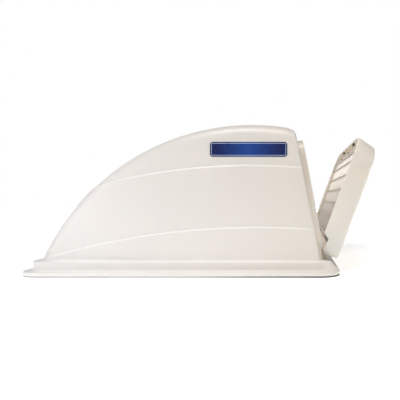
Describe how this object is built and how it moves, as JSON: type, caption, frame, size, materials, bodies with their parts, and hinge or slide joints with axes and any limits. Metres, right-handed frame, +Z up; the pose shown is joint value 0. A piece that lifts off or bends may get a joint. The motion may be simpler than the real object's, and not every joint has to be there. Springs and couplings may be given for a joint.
{
  "type": "roof vent cover",
  "caption": "Moulded hood that covers a caravan roof vent, with a louvred rear door on pins, slide latches and roof brackets.",
  "frame": {"origin": "middle of the base plane, at the centre of the four roof screw holes", "axes": "+X towards the louvred door, +Y to the left of the hood when seen from its door, +Z up"},
  "size_m": [0.6024, 0.48, 0.258],
  "materials": {
    "hood_plastic": "satin-gloss moulded, off-white",
    "frame_plastic": "satin moulded, off-white",
    "door_plastic": "satin-gloss moulded, off-white",
    "pin_plastic": "plain moulded, off-white",
    "screen_mesh": "fine woven mesh, pale grey",
    "latch_plastic": "fine-grained moulded, charcoal",
    "screw_steel": "zinc-plated",
    "bracket_steel": "zinc-plated pressed sheet",
    "insert_brass": "plain turned",
    "label_film": "printed film, blue, no lettering"
  },
  "bodies": {
    "cover": {"dome_shell": "hood_plastic", "rear_frame": "frame_plastic", "frame_screws": "screw_steel", "hinge_pin_left": "pin_plastic", "hinge_pin_right": "pin_plastic", "bracket_front_left": "bracket_steel", "bracket_front_right": "bracket_steel", "bracket_rear_left": "bracket_steel", "bracket_rear_right": "bracket_steel", "bracket_bolts": "screw_steel", "bracket_washers": "screw_steel", "bracket_inserts": "insert_brass", "label_left": "label_film", "label_right": "label_film"},
    "door": {"louvre_door": "door_plastic", "insect_screen": "screen_mesh", "screen_frame": "frame_plastic", "screen_screws": "screw_steel"},
    "latch_left": {"latch_button_left": "latch_plastic", "latch_tongue_left": "latch_plastic", "latch_screw_left": "screw_steel"},
    "latch_right": {"latch_button_right": "latch_plastic", "latch_tongue_right": "latch_plastic", "latch_screw_right": "screw_steel"}
  },
  "joints": [
    {"name": "door_hinge", "type": "hinge", "parent": "cover", "child": "door", "pos_m": [0.24666, 0, 0.0376], "axis": [0, 1, 0], "range_deg": [-31.1, 50]},
    {"name": "latch_left_slide", "type": "slide", "parent": "door", "child": "latch_left", "axis": [0, 1, 0], "range_m": [0, 0.011]},
    {"name": "latch_right_slide", "type": "slide", "parent": "door", "child": "latch_right", "axis": [0, -1, 0], "range_m": [0, 0.011]}
  ]
}
